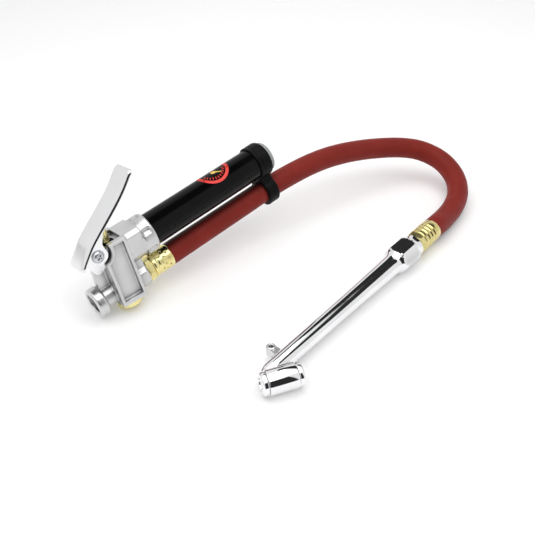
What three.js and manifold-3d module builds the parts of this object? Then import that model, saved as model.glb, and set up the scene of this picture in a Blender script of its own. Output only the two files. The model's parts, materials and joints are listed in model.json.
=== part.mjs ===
// Hand-held tire inflator: a cast valve body with a thumb lever, an in-line gauge barrel,
// a rubber hose clipped under the barrel, and a long dual-foot air chuck on the hose's end.
//
// World frame: millimetres, +Z up, standing on the plane z = 0, barrel pointing along +X.
// Tool frame: x runs along the gauge barrel, z points from the barrel up to the lever.
// Valve frame: the tool frame leaned by VALVE_TILT, its z axis is the valve stem's axis.
// Chuck frame: x runs along the chuck's rod from its head to the hose.
import * as THREE from 'three';
import { mergeVertices } from 'three/addons/utils/BufferGeometryUtils.js';
import Module from 'manifold-3d';

const wasm = await Module();
wasm.setup();

// ---- driving dimensions -------------------------------------------------------------
const GAP = 0.3;                 // clearance between neighbouring pieces
const WALL = 1.2;                // wall of the gauge barrel

const FOOTPRINT = { x: 91.3, y: -59 };   // middle of the box round everything but the hose
const TOOL_HEIGHT = 38.15;       // barrel axis above the ground at the valve stem
const TOOL_PITCH = 9.3;          // degrees, barrel's far end raised
const TOOL_ROLL = 14.5;          // degrees, lever side leaning back
const VALVE_TILT = 4;            // degrees, valve axis leaning towards the barrel

const PORT_Z = -23.2;            // shared axis of the inlet, the hose fitting and the hose clip
const PLATE_HALF = 12.5;         // half thickness of the casting across its side plates
const CORE_HALF = 7.4;           // half thickness of the casting between the lever's flanges
const BLOCK_HALF = 8.7;          // half length of the valve block along the barrel
const BLOCK_TOP = 12.5;
const BLOCK_BOTTOM = -31.5;
const CHAMBER_TOP = -15;         // valve seat
const CHAMBER_R = 6.4;

const BARREL_R = 11.1;
const BARREL_START = 14.4;
const BARREL_END = 127.5;
const SOCKET_FLOOR = 14;
const COLLAR_START = 19.5;
const COLLAR_END = 29;
const COLLAR_R = 13.5;
const TUBE_START = 20.3;         // clear gauge tube inside the barrel
const TUBE_END = 120;
const TUBE_R = 9.6;
const PISTON_R = 8.3;

const CAP_START = 117.5;         // rubber bumper
const CAP_END = 129.3;
const CAP_R = 12.5;
const CLIP_START = 118.5;
const CLIP_END = 127.3;
const CLIP_R = 10.6;

const INLET_FACE = -25;
const INLET_RING_R = 10.2;
const NPT_R = 6.6;               // mouth of a 1/4 inch pipe thread

const PIVOT = { x: -10.6, z: 9 };
const PIVOT_BORE = 2.5;
const LEVER_HALF = 10;           // half width of the lever
const SHEET = 1.6;               // lever sheet thickness
const FLANGE = 2.4;              // depth of the lever's side flanges

const HOSE_R = 7.9;
const FERRULE_R = 8.2;
const BODY_FERRULE = 15;
const CHUCK_FERRULE = 18.7;
const FITTING_HEX = 15.4;        // across flats
const BOSS_END = 15;

const CHUCK_AT = { x: 28.8, y: -119.7, z: 7.99 };
const CHUCK_TURN = 7.66;         // degrees about +Z
const CHUCK_LIFT = 0.61;         // degrees, the hexagon is thicker than the head it lies with
const CHUCK_HEX = 18.6;          // across flats
const CHUCK_HEX_START = 131;
const CHUCK_HEX_END = 148;
const CHUCK_END = 154.7;
const HEAD_AT = { x: 0, y: -8.7 };
const HEAD_TURN = -29.2;         // degrees, head axis against the rod axis
const HEAD_R = 7.9;
const HEAD_HALF = 9.2;           // half length of the cast head between its two foot caps
const FOOT_END = 13.1;
const FOOT_R = 7.4;

const ROUND = 28;                // sides of a large round piece
const SMALL = 16;                // sides of a small round piece

// ---- solids -------------------------------------------------------------------------
const rad = THREE.MathUtils.degToRad;

function indexed(geometry) {
  const bare = new THREE.BufferGeometry();
  bare.setAttribute('position', geometry.getAttribute('position').clone());
  if (geometry.index) bare.setIndex(geometry.index.clone());
  return mergeVertices(bare, 1e-4);
}

function signedVolume(vertices, triangles) {
  const a = new THREE.Vector3();
  const b = new THREE.Vector3();
  const c = new THREE.Vector3();
  let sum = 0;
  for (let i = 0; i < triangles.length; i += 3) {
    a.fromArray(vertices, triangles[i] * 3);
    b.fromArray(vertices, triangles[i + 1] * 3);
    c.fromArray(vertices, triangles[i + 2] * 3);
    sum += a.dot(b.cross(c));
  }
  return sum / 6;
}

// A closed geometry as a manifold solid with its faces pointing out.
function solid(geometry) {
  const closed = indexed(geometry);
  const vertProperties = Float32Array.from(closed.getAttribute('position').array);
  const all = closed.index.array;
  const triangles = [];
  for (let i = 0; i < all.length; i += 3) {
    const [p, q, r] = [all[i], all[i + 1], all[i + 2]];
    if (p !== q && q !== r && r !== p) triangles.push(p, q, r);
  }
  if (signedVolume(vertProperties, triangles) < 0) triangles.reverse();
  const triVerts = Uint32Array.from(triangles);
  return new wasm.Manifold(new wasm.Mesh({ numProp: 3, vertProperties, triVerts }));
}

function geometryOf(manifold) {
  const mesh = manifold.getMesh();
  const geometry = new THREE.BufferGeometry();
  geometry.setAttribute('position', new THREE.BufferAttribute(mesh.vertProperties, 3));
  geometry.setIndex(new THREE.BufferAttribute(mesh.triVerts, 1));
  return geometry;
}

const join = (...parts) => parts.map(solid).reduce((whole, part) => whole.add(part));
const cut = (body, ...tools) => tools.map(solid).reduce((rest, tool) => rest.subtract(tool), body);

// Turned shape from [radius, position] points: about z, or about x when axis is 'x'.
function turned(profile, axis = 'z', sides = ROUND) {
  const points = profile.map(([radius, along]) => new THREE.Vector2(Math.max(radius, 0), along));
  const geometry = new THREE.LatheGeometry(points, sides);
  if (axis === 'x') return geometry.rotateZ(-Math.PI / 2);
  return geometry.rotateX(Math.PI / 2);
}

const rod = (radius, from, to, axis = 'z', sides = ROUND) =>
  turned([[0, from], [radius, from], [radius, to], [0, to]], axis, sides);

const ring = (inner, outer, from, to, axis = 'z', sides = ROUND) =>
  turned([[inner, from], [outer, from], [outer, to], [inner, to], [inner, from]], axis, sides);

function block(x0, x1, y0, y1, z0, z1) {
  const geometry = new THREE.BoxGeometry(x1 - x0, y1 - y0, z1 - z0);
  return geometry.translate((x0 + x1) / 2, (y0 + y1) / 2, (z0 + z1) / 2);
}

// Side outline in x and z, extruded across y between two planes.
function sidePlate(outline, y0, y1) {
  const shape = outline instanceof THREE.Shape
    ? outline
    : new THREE.Shape(outline.map(([x, z]) => new THREE.Vector2(x, z)));
  const geometry = new THREE.ExtrudeGeometry(shape, { depth: y1 - y0, bevelEnabled: false, curveSegments: 12 });
  return geometry.rotateX(Math.PI / 2).translate(0, y1, 0);
}

// Hexagonal bar along x, a flat facing down.
function hexBar(acrossFlats, from, to) {
  const corner = acrossFlats / Math.sqrt(3);
  return turned([[0, from], [corner, from], [corner, to], [0, to]], 'x', 6).rotateX(Math.PI / 6);
}

// Coil spring along its own z axis.
class Helix extends THREE.Curve {
  constructor(radius, from, to, turns) {
    super();
    Object.assign(this, { radius, from, to, turns });
  }

  getPoint(t, target = new THREE.Vector3()) {
    const angle = t * this.turns * Math.PI * 2;
    const height = this.from + (this.to - this.from) * t;
    return target.set(this.radius * Math.cos(angle), this.radius * Math.sin(angle), height);
  }
}

function swept(curve, radius, steps, sides) {
  const section = new THREE.Shape();
  for (let i = 0; i < sides; i += 1) {
    const angle = (i / sides) * Math.PI * 2;
    const point = [radius * Math.cos(angle), radius * Math.sin(angle)];
    if (i === 0) section.moveTo(...point);
    else section.lineTo(...point);
  }
  return new THREE.ExtrudeGeometry(section, { steps, extrudePath: curve, bevelEnabled: false });
}

function coil(radius, wire, from, to, turns) {
  return swept(new Helix(radius, from + wire, to - wire, turns), wire, turns * 8, 5);
}

const leaned = (geometry) => geometry.rotateY(rad(VALVE_TILT));
const atPort = (geometry) => geometry.translate(0, 0, PORT_Z);

// ---- materials ----------------------------------------------------------------------
const finish = (color, roughness, metalness) => ({ color, roughness, metalness });
const CAST = finish(0xc9cacb, 0.42, 0.9);
const CHROME = finish(0xe4e6e8, 0.1, 1);
const BRASS = finish(0xd9c27a, 0.3, 1);
const BLACK_PAINT = finish(0x0b0b0c, 0.18, 0);
const RUBBER = finish(0x151515, 0.7, 0);
const RED_RUBBER = finish(0x8c2f28, 0.6, 0);
const SPRING = finish(0x9a9ea3, 0.3, 1);
const CLEAR = finish(0xe6edf0, 0.08, 0);
const NYLON = finish(0xf1efe8, 0.5, 0);
const INDICATOR = finish(0xd8401f, 0.5, 0);

// ---- valve body ---------------------------------------------------------------------
const LUG_SWING = 7.9;           // radius kept free about the pivot for the lever's lugs
const POCKET_FLOOR = 9.3;
const CHANNEL_FLOOR = 9.7;       // the stem rises from a channel between the two plates
const GLAND_FLOOR = 1.3;

function plateOutline(inset) {
  const shape = new THREE.Shape();
  const side = BLOCK_HALF - inset;
  const top = BLOCK_TOP - inset;
  const bottom = BLOCK_BOTTOM + inset * 1.4;
  const swing = LUG_SWING + inset;
  const topAngle = Math.asin((top - PIVOT.z) / swing);
  const sideAngle = -Math.acos((-side - PIVOT.x) / swing);
  shape.moveTo(side, bottom);
  shape.lineTo(side, top);
  shape.absarc(PIVOT.x, PIVOT.z, swing, topAngle, sideAngle, true);
  shape.lineTo(-side, bottom);
  shape.closePath();
  return shape;
}

function coreOutline() {
  const shape = new THREE.Shape();
  const boss = 4.4;
  shape.moveTo(BLOCK_HALF, BLOCK_BOTTOM);
  shape.lineTo(BLOCK_HALF, BLOCK_TOP);
  shape.lineTo(-5.4, BLOCK_TOP);
  shape.absarc(PIVOT.x, PIVOT.z, boss, rad(60), rad(200), false);
  shape.lineTo(-12.8, 1);
  shape.lineTo(-BLOCK_HALF, -3);
  shape.lineTo(-BLOCK_HALF, BLOCK_BOTTOM);
  shape.closePath();
  return shape;
}

function collarFlutes() {
  const flutes = [];
  const count = 6;
  for (let i = 0; i < count; i += 1) {
    const angle = rad(30 + (i * 360) / count);
    const flute = rod(3.4, COLLAR_START + 1.3, COLLAR_END - 2, 'x', 12);
    flutes.push(flute.translate(0, 15.6 * Math.cos(angle), 15.6 * Math.sin(angle)));
  }
  return flutes;
}

// Square shoulder between the valve frame and the collar, drawn in y and z.
function shoulder() {
  const outline = [[-12, -5], [12, -5], [12, 9.4], [9.4, 12], [-9.4, 12], [-12, 9.4]];
  return sidePlate(outline, -COLLAR_START, -4).rotateZ(Math.PI / 2);
}

function bodyCasting() {
  const neck = turned([[0, 2], [12, 2], [12, COLLAR_START], [0, COLLAR_START]], 'x');
  const collar = turned([
    [0, COLLAR_START], [COLLAR_R - 0.8, COLLAR_START], [COLLAR_R, COLLAR_START + 0.8],
    [COLLAR_R, COLLAR_END - 0.8], [COLLAR_R - 0.8, COLLAR_END], [0, COLLAR_END],
  ], 'x');
  const bossProfile = [[0, 4], [9.3, 4], [9.3, BOSS_END - 1.2], [8.8, BOSS_END], [0, BOSS_END]];
  const hoseBoss = atPort(turned(bossProfile, 'x', 8).rotateX(Math.PI / 8));
  const inletNeck = atPort(rod(7.6, -18.5, -5, 'x'));
  const inletRing = atPort(turned([
    [0, INLET_FACE], [INLET_RING_R - 1, INLET_FACE], [INLET_RING_R, INLET_FACE + 1],
    [INLET_RING_R, -18.8], [INLET_RING_R - 0.8, -18], [0, -18],
  ], 'x'));
  const whole = join(
    leaned(sidePlate(plateOutline(0), -PLATE_HALF, PLATE_HALF)),
    leaned(sidePlate(coreOutline(), -CORE_HALF, CORE_HALF)),
    neck,
    shoulder(),
    collar,
    hoseBoss,
    inletNeck,
    inletRing,
    block(5, BOSS_END, -6, 6, -20, -6),
    sidePlate([[-14.8, 8], [-18, -16.5], [-6, -16.5], [-6, 6]], -2.4, 2.4),
  );
  const pocket = plateOutline(2);
  return cut(
    whole,
    leaned(sidePlate(pocket, -PLATE_HALF - 1, -POCKET_FLOOR)),
    leaned(sidePlate(pocket, POCKET_FLOOR, PLATE_HALF + 1)),
    ...collarFlutes(),
    rod(BARREL_R + GAP, SOCKET_FLOOR, COLLAR_END + 1, 'x'),
    leaned(rod(CHAMBER_R, BLOCK_BOTTOM - 5, CHAMBER_TOP, 'z', SMALL + 4)),
    leaned(rod(7.3, BLOCK_BOTTOM - 5, -24, 'z', SMALL + 4)),
    leaned(rod(3.4, CHAMBER_TOP - 1, -6, 'z', SMALL)),
    leaned(rod(3.1, -7, 3, 'z', SMALL)),
    leaned(rod(5.1, GLAND_FLOOR, BLOCK_TOP + 3, 'z', SMALL)),
    leaned(block(-4.6, 7.4, -7.9, 7.9, CHANNEL_FLOOR, BLOCK_TOP + 3)),
    rod(1.8, 0, SOCKET_FLOOR + 1, 'x', 12).translate(0, 0, -9),
    rod(1.8, PORT_Z, -9, 'z', 12).translate(11.2, 0, 0),
    atPort(rod(4.5, 9, BOSS_END + 1, 'x', SMALL)),
    atPort(turned([[0, INLET_FACE - 1], [NPT_R, INLET_FACE - 1], [NPT_R - 0.6, -11], [0, -11]], 'x', 24)),
    atPort(rod(3.4, -12, 0, 'x', SMALL)),
    rod(PIVOT_BORE, -CORE_HALF - 1, CORE_HALF + 1, 'z', SMALL).rotateX(Math.PI / 2)
      .translate(PIVOT.x, 0, PIVOT.z),
  );
}

// ---- lever --------------------------------------------------------------------------
// Upper surface of the lever's web from its lower lip to its hooked tip, in x and z.
const WEB_LINE = [
  [-24.2, 5.4], [-22.2, 7.8], [-17.6, 12], [-12, 16.9], [-6, 20.9], [1, 25.3],
  [10, 31], [19, 37], [25, 43], [29, 46.2], [32.2, 46.6], [34, 44.4],
];

function offsetLine(points, distance) {
  return points.map(([x, z], i) => {
    const [xa, za] = points[Math.max(i - 1, 0)];
    const [xb, zb] = points[Math.min(i + 1, points.length - 1)];
    const length = Math.hypot(xb - xa, zb - za);
    return [x + ((zb - za) / length) * distance, z - ((xb - xa) / length) * distance];
  });
}

function webPoints(count) {
  const curve = new THREE.CatmullRomCurve3(WEB_LINE.map(([x, z]) => new THREE.Vector3(x, z, 0)));
  return curve.getSpacedPoints(count).map((p) => [p.x, p.y]);
}

function lever() {
  const upper = webPoints(20);
  const lower = offsetLine(upper, SHEET);
  const web = sidePlate([...upper, ...lower.reverse()], -LEVER_HALF, LEVER_HALF);
  const edge = offsetLine(upper, FLANGE).reverse();
  const lug = new THREE.Shape();
  lug.moveTo(-20.2, 8);
  lug.lineTo(-16.8, -0.6);
  lug.lineTo(-15, -2.1);
  lug.lineTo(-11, -1.2);
  lug.lineTo(-9.7, 0.8);
  lug.absarc(PIVOT.x, PIVOT.z, 6.7, rad(-80), rad(-10), false);
  lug.lineTo(-4.9, 14.3);
  lug.lineTo(-1, 22.6);
  lug.lineTo(-8, 18.4);
  lug.closePath();
  const bore = rod(PIVOT_BORE, -LEVER_HALF - 1, LEVER_HALF + 1, 'z', SMALL).rotateX(Math.PI / 2);
  let whole = solid(web);
  for (const [from, to] of [[-LEVER_HALF, SHEET - LEVER_HALF], [LEVER_HALF - SHEET, LEVER_HALF]]) {
    whole = whole.add(solid(sidePlate([...upper, ...edge], from, to))).add(solid(sidePlate(lug, from, to)));
  }
  return cut(whole, bore.translate(PIVOT.x, 0, PIVOT.z));
}

function pivotScrew() {
  const near = LEVER_HALF + GAP;
  return turned([
    [0, -near - 0.9], [2.2, -near - 0.9], [2.2, near], [3.5, near], [3.5, near + 1.1], [2.6, near + 1.8], [0, near + 1.8],
  ], 'z', SMALL).rotateX(Math.PI / 2);
}

function pivotNut() {
  const from = LEVER_HALF + GAP;
  const nut = turned([[0, from], [3.9, from], [3.9, from + 2], [0, from + 2]], 'z', 6).rotateX(-Math.PI / 2);
  const pocket = rod(2.5, 0, from + 1.2, 'z', SMALL).rotateX(-Math.PI / 2);
  return cut(solid(nut), pocket);
}

// ---- valve --------------------------------------------------------------------------
const STEM_TIP = 22;
const STEM_R = 2.8;

function valveStem() {
  return turned([
    [0, -23], [2.2, -23], [2.2, -20.3], [4.6, -20.3], [4.6, -18.6], [1.7, -18.6], [1.7, -15],
    [2.3, -15], [2.3, -1.8], [STEM_R, -1.8], [STEM_R, STEM_TIP - 2], [1.9, STEM_TIP - 0.6], [0, STEM_TIP],
  ], 'z', SMALL);
}

function valveCap() {
  return turned([
    [0, -37.5], [7.6, -37.5], [8.6, -36.5], [8.6, -33.1], [6.9, -33.1], [6.9, -25.2],
    [5.4, -25.2], [5.4, -34.5], [0, -34.5],
  ], 'z', 28);
}

// ---- hose fittings ------------------------------------------------------------------
// Brass fitting along x: shank to its left, hexagon from hexStart to hexEnd, barb to its right.
function hoseFitting(shankStart, shankR, hexStart, hexEnd) {
  const barb = [];
  for (let i = 0; i < 4; i += 1) {
    const at = hexEnd + 2 + i * 3;
    barb.push([2.6, at], [3.3, at], [2.6, at + 2.6]);
  }
  const stem = turned([
    [0, shankStart], [shankR, shankStart], [shankR, hexStart + 1], [2.6, hexStart + 1], ...barb, [0, hexEnd + 13.6],
  ], 'x', SMALL);
  const whole = solid(hexBar(FITTING_HEX, hexStart, hexEnd)).add(solid(stem));
  return cut(whole, rod(1.8, shankStart - 1, hexEnd + 15, 'x', 12));
}

const ferrule = (from, length) => turned([
  [3.7, from], [7.6, from], [FERRULE_R, from + 0.8], [FERRULE_R, from + 3.4], [FERRULE_R - 0.5, from + 4],
  [FERRULE_R - 0.5, from + 5], [FERRULE_R, from + 5.6], [FERRULE_R, from + length - 0.4],
  [FERRULE_R - 0.3, from + length], [7.2, from + length], [7.2, from + 1.4], [3.7, from + 1.4],
  [3.7, from],
], 'x', 24);

// ---- gauge --------------------------------------------------------------------------
function gaugeBarrel() {
  const tube = solid(ring(BARREL_R - WALL, BARREL_R, BARREL_START, BARREL_END, 'x', ROUND + 4));
  const slot = new THREE.Shape();
  slot.absarc(52, 0, 3, Math.PI / 2, -Math.PI / 2, false);
  slot.absarc(104, 0, 3, -Math.PI / 2, Math.PI / 2, false);
  slot.closePath();
  return cut(tube, sidePlate(slot, 4, BARREL_R + 2).rotateX(rad(14)));
}

function bumperCap() {
  const shell = turned([
    [11.4, CAP_START], [CAP_R - 0.6, CAP_START], [CAP_R, CAP_START + 0.6], [CAP_R, CAP_END - 1.6],
    [CAP_R - 1.4, CAP_END], [8.7, CAP_END], [8.7, BARREL_END + GAP], [11.4, BARREL_END + GAP], [11.4, CAP_START],
  ], 'x');
  const clip = atPort(ring(HOSE_R + 0.6, CLIP_R, CLIP_START, CLIP_END, 'x'));
  const web = block(CLIP_START, CLIP_END, -6, 6, -15, -10.5);
  return cut(
    join(shell, clip, web),
    rod(BARREL_R + GAP, CAP_START - 1, BARREL_END + GAP, 'x'),
    atPort(rod(HOSE_R + 0.6, CLIP_START - 1, CLIP_END + 1, 'x')),
  );
}

const piston = () => turned([
  [0, 25.3], [PISTON_R, 25.3], [PISTON_R, 30.3], [3.2, 30.3], [3.2, 35], [0, 35],
], 'x', 24);

const pistonCup = () => turned([
  [0, 23.8], [6.6, 23.8], [7.4, 22.2], [8.4, 22], [8.4, 25], [0, 25],
], 'x', 24);

const endPlug = () => turned([
  [0, TUBE_END + GAP], [9.6, TUBE_END + GAP], [9.6, 124.6], [0, 124.6],
], 'x', 24);

const endLens = () => turned([
  [0, 124.9], [9.6, 124.9], [9.6, 127], [8.3, 127.4], [8.3, 129.6], [6.4, 131.2], [3.4, 132], [0, 132.2],
], 'x', 24);

const gaugeBase = () => turned([
  [2.4, 14.4], [9.5, 14.4], [9.5, 20], [5, 20], [5, 21.4], [2.4, 21.4], [2.4, 14.4],
], 'x', 24);

// ---- chuck --------------------------------------------------------------------------
// Places a shape turned about x on the head's axis.
const onHead = (geometry) => geometry.rotateZ(rad(HEAD_TURN)).translate(HEAD_AT.x, HEAD_AT.y, 0);

function chuckStem() {
  const shank = turned([
    [0, -5], [3.6, -5], [5.2, -2], [5.8, 2], [5.8, 24], [6.4, 75], [7.5, 127], [9.1, CHUCK_HEX_START - 0.6],
    [10.6, CHUCK_HEX_START + 0.6], [10.6, CHUCK_HEX_END - 0.5], [9, CHUCK_HEX_END + 1.4], [8.6, CHUCK_END],
    [0, CHUCK_END],
  ], 'x', 28);
  const hexagon = hexBar(CHUCK_HEX, 120, CHUCK_END + 1);
  const slim = rod(8, -6, 125, 'x', 28);
  const capRoom = onHead(rod(FOOT_R + GAP, -FOOT_END - 1, -HEAD_HALF, 'x', 28));
  const stem = cut(solid(shank).intersect(solid(hexagon).add(solid(slim))), capRoom);
  const head = onHead(turned([
    [0, -HEAD_HALF], [HEAD_R - 0.5, -HEAD_HALF], [HEAD_R, 0.5 - HEAD_HALF], [HEAD_R, HEAD_HALF - 0.5],
    [HEAD_R - 0.5, HEAD_HALF], [0, HEAD_HALF],
  ], 'x', 28));
  const lug = rod(3.1, -3.4, 3.6, 'z', SMALL).translate(13.3, 10.7, 0);
  const web = block(9.8, 16.4, 2, 10.6, -2.6, 2.4);
  const foot = (sign) => onHead(rod(5.2, sign < 0 ? -HEAD_HALF - 1 : 1.5, sign < 0 ? -1.5 : HEAD_HALF + 1, 'x', SMALL));
  return cut(
    stem.add(solid(head)).add(solid(lug)).add(solid(web)),
    foot(-1),
    foot(1),
    onHead(rod(1.6, -2, 2, 'x', 12)),
    rod(1.8, -4, CHUCK_END, 'x', 12),
    turned([[0, 141.5], [6.2, 141.5], [NPT_R, CHUCK_END + 1], [0, CHUCK_END + 1]], 'x', 24),
  );
}

// The foot pieces are drawn for the foot that faces the rod's far side and mirrored for the other.
const facing = (profile, sign) => profile.map(([radius, along]) => [radius, along * sign]);

const footCap = (sign) => onHead(turned(facing([
  [4.2, 6], [4.9, 6], [4.9, HEAD_HALF + GAP], [FOOT_R, HEAD_HALF + GAP], [FOOT_R, FOOT_END - 1.4],
  [FOOT_R - 1.6, FOOT_END], [4.2, FOOT_END], [4.2, 6],
], sign), 'x', 28));

const footGrommet = (sign) => onHead(turned(facing([
  [1.9, 6.4], [3.9, 6.4], [3.9, 9.4], [2.6, 9.9], [1.9, 9.4], [1.9, 6.4],
], sign), 'x', SMALL));

const footPin = (sign) => onHead(turned(facing([
  [0, 3.9], [3.6, 3.9], [3.6, 5], [1.3, 5], [1.3, 10], [0, 10.4],
], sign), 'x', 16));

const footSpring = (sign) => {
  const wire = coil(2.6, 0.25, 1.8, 3.6, 2);
  return onHead(wire.rotateY((sign * Math.PI) / 2));
};

// ---- hose ---------------------------------------------------------------------------
// Centreline in world millimetres after the straight stretch under the barrel.
const HOSE_STEPS = 27;
const HOSE_LOOP = [
  [148, -6.3, 38.7], [166, -7.1, 39.9], [184, -8.6, 39.8], [201.5, -10.8, 38.2], [219, -14.2, 35.7],
  [236, -18.9, 32.8], [252, -25.2, 29.7], [265.5, -34.4, 26], [273.2, -50, 20.7], [270, -67, 15.2],
  [259, -79.8, 10.8], [243, -87.6, 8.5], [226, -92, 8.2],
];

// ---- assembly -----------------------------------------------------------------------
const inflator = new THREE.Group();
const layout = new THREE.Group();
const tool = new THREE.Group();
const valve = new THREE.Group();
const chuck = new THREE.Group();
layout.position.set(-FOOTPRINT.x, -FOOTPRINT.y, 0);
tool.position.set(0, 0, TOOL_HEIGHT);
tool.rotation.set(rad(-TOOL_ROLL), rad(-TOOL_PITCH), 0, 'YXZ');
valve.rotation.y = rad(VALVE_TILT);
chuck.position.set(CHUCK_AT.x, CHUCK_AT.y, CHUCK_AT.z);
chuck.rotation.set(0, rad(-CHUCK_LIFT), rad(CHUCK_TURN), 'ZYX');
inflator.add(layout);
layout.add(tool, chuck);
tool.add(valve);
tool.updateMatrix();
chuck.updateMatrix();

const toolPoint = (x) => new THREE.Vector3(x, 0, PORT_Z).applyMatrix4(tool.matrix);
const chuckPoint = (x) => new THREE.Vector3(x, 0, 0).applyMatrix4(chuck.matrix);

function hose() {
  const start = BOSS_END + 5 + BODY_FERRULE + GAP;
  const end = CHUCK_END + 6.1 + CHUCK_FERRULE + GAP;
  const straight = [start, start + 20, 85, 108, CLIP_END].map(toolPoint);
  const loop = HOSE_LOOP.map((point) => new THREE.Vector3(...point));
  const route = new THREE.CatmullRomCurve3([...straight, ...loop, chuckPoint(end + 7), chuckPoint(end)]);
  return swept(route, HOSE_R, HOSE_STEPS, 12);
}

function add(group, name, shape, look, place = { x: 0, z: 0 }) {
  const geometry = geometryOf(shape.isBufferGeometry ? solid(shape) : shape);
  const mesh = new THREE.Mesh(geometry, new THREE.MeshStandardMaterial(look));
  mesh.name = name;
  mesh.position.set(place.x, 0, place.z);
  group.add(mesh);
}

add(tool, 'body_casting', bodyCasting(), CAST);
add(tool, 'lever', lever(), CHROME);
add(tool, 'pivot_screw', pivotScrew(), SPRING, PIVOT);
add(tool, 'pivot_nut', pivotNut(), SPRING, PIVOT);
add(tool, 'inlet_screen', atPort(ring(1.2, 5.8, -12, -11.3, 'x', SMALL)), BRASS);

add(valve, 'valve_stem', valveStem(), BRASS);
add(valve, 'valve_disc', ring(2, 5.2, -18.3, -15.4, 'z', SMALL), RUBBER);
add(valve, 'valve_spring', coil(4.4, 0.55, -34.2, -20.6, 5), SPRING);
add(valve, 'valve_cap', valveCap(), BRASS);
add(valve, 'cap_gasket', ring(7.2, 8.4, -32.8, -32, 'z', 24), RUBBER);
add(valve, 'stem_o_ring', ring(3.1, 4.8, 1.6, 3.4, 'z', SMALL), RUBBER);
add(valve, 'gland_nut', ring(3.1, 4.8, 3.7, 6.7, 'z', SMALL), BRASS);
add(valve, 'stem_wiper', ring(3.1, 4.8, 7, 9.9, 'z', SMALL), RUBBER);

add(tool, 'gauge_base', gaugeBase(), BRASS);
add(tool, 'gauge_barrel', gaugeBarrel(), BLACK_PAINT);
add(tool, 'gauge_tube', ring(8.7, TUBE_R, TUBE_START, TUBE_END, 'x'), CLEAR);
add(tool, 'gauge_piston', piston(), INDICATOR);
add(tool, 'piston_cup', pistonCup(), RUBBER);
add(tool, 'gauge_spring', coil(6.4, 0.55, 30.6, TUBE_END, 15).rotateY(Math.PI / 2), SPRING);
add(tool, 'end_plug', endPlug(), NYLON);
add(tool, 'end_lens', endLens(), CLEAR);
add(tool, 'bumper_cap', bumperCap(), RUBBER);

add(tool, 'hose_fitting_body', hoseFitting(9.3, 4.2, BOSS_END + GAP, BOSS_END + 4.7), BRASS, { x: 0, z: PORT_Z });
add(tool, 'hose_ferrule_body', atPort(ferrule(BOSS_END + 5, BODY_FERRULE)), BRASS);
add(layout, 'hose', hose(), RED_RUBBER);
add(chuck, 'hose_ferrule_chuck', ferrule(CHUCK_END + 6.1, CHUCK_FERRULE), BRASS);
add(chuck, 'hose_fitting_chuck', hoseFitting(142.2, 5.8, CHUCK_END + GAP, CHUCK_END + 5.8), BRASS);

add(chuck, 'chuck_stem', chuckStem(), CHROME);
for (const [side, sign] of [['front', -1], ['rear', 1]]) {
  add(chuck, `foot_cap_${side}`, footCap(sign), CHROME);
  add(chuck, `foot_grommet_${side}`, footGrommet(sign), RUBBER);
  add(chuck, `foot_pin_${side}`, footPin(sign), BRASS);
  add(chuck, `foot_spring_${side}`, footSpring(sign), SPRING);
}

export default inflator;
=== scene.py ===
import json
import math

import bmesh
import bpy
import numpy as np
from mathutils import Matrix, Vector


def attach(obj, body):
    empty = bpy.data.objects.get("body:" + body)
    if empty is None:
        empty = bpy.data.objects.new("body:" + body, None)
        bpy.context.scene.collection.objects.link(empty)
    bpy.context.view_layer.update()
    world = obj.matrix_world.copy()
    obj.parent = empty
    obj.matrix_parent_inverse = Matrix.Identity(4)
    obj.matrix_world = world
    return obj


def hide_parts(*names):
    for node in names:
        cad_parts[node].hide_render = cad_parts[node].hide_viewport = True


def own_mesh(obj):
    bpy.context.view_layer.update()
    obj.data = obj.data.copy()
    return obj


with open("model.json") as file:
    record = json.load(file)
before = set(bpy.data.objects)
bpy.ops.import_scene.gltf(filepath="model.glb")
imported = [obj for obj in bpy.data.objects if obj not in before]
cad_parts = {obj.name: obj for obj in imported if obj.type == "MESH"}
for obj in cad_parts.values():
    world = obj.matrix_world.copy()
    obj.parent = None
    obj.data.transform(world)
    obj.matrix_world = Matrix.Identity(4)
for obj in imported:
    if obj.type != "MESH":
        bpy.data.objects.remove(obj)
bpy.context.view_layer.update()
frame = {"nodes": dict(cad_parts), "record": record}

NODES = frame["nodes"]

# ---- frames -------------------------------------------------------------------------
# Local frames are in millimetres. LEAN, AT_PORT and AT_PIVOT stay in them, inside TOOL, and
# the matrices from VALVE on, with ROW and TOOL, take them to the row frame in metres.
LEAN_DEG = 4
PORT_Z = -23.2
PIVOT_X, PIVOT_Z = -10.6, 9.0


def turn(axis, degrees):
    return Matrix.Rotation(math.radians(degrees), 4, axis)


ROW = Matrix.Scale(0.001, 4) @ Matrix.Translation((-91.3, 59.0, 0.0))
TOOL = ROW @ Matrix.Translation((0, 0, 38.15)) @ turn("Y", -9.3) @ turn("X", -14.5)
LEAN = turn("Y", LEAN_DEG)
AT_PORT = Matrix.Translation((0, 0, PORT_Z))
AT_PIVOT = Matrix.Translation((PIVOT_X, 0, PIVOT_Z))
VALVE = TOOL @ LEAN
PORT = TOOL @ AT_PORT
PIVOT = TOOL @ AT_PIVOT
CHUCK = ROW @ Matrix.Translation((28.8, -119.7, 7.99)) @ turn("Z", 7.66) @ turn("Y", -0.61)
HEAD = CHUCK @ Matrix.Translation((0, -8.7, 0)) @ turn("Z", -29.2)
X_TO_Z = turn("Y", -90)          # a shape turned about x stands on z
X_TO_Y = turn("Z", 90)           # a shape turned about x lies along y

# ---- camera -------------------------------------------------------------------------
camera = bpy.data.objects.new("camera", bpy.data.cameras.new("camera"))
camera.location = (-0.2440, -0.2658, 0.3170)
camera.rotation_euler = (math.radians(50.0), 0, math.radians(-41.2))
camera.data.lens = 47.1
camera.data.clip_start = 0.01
bpy.context.scene.collection.objects.link(camera)
bpy.context.scene.camera = camera

# ---- material tools -----------------------------------------------------------------


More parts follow.
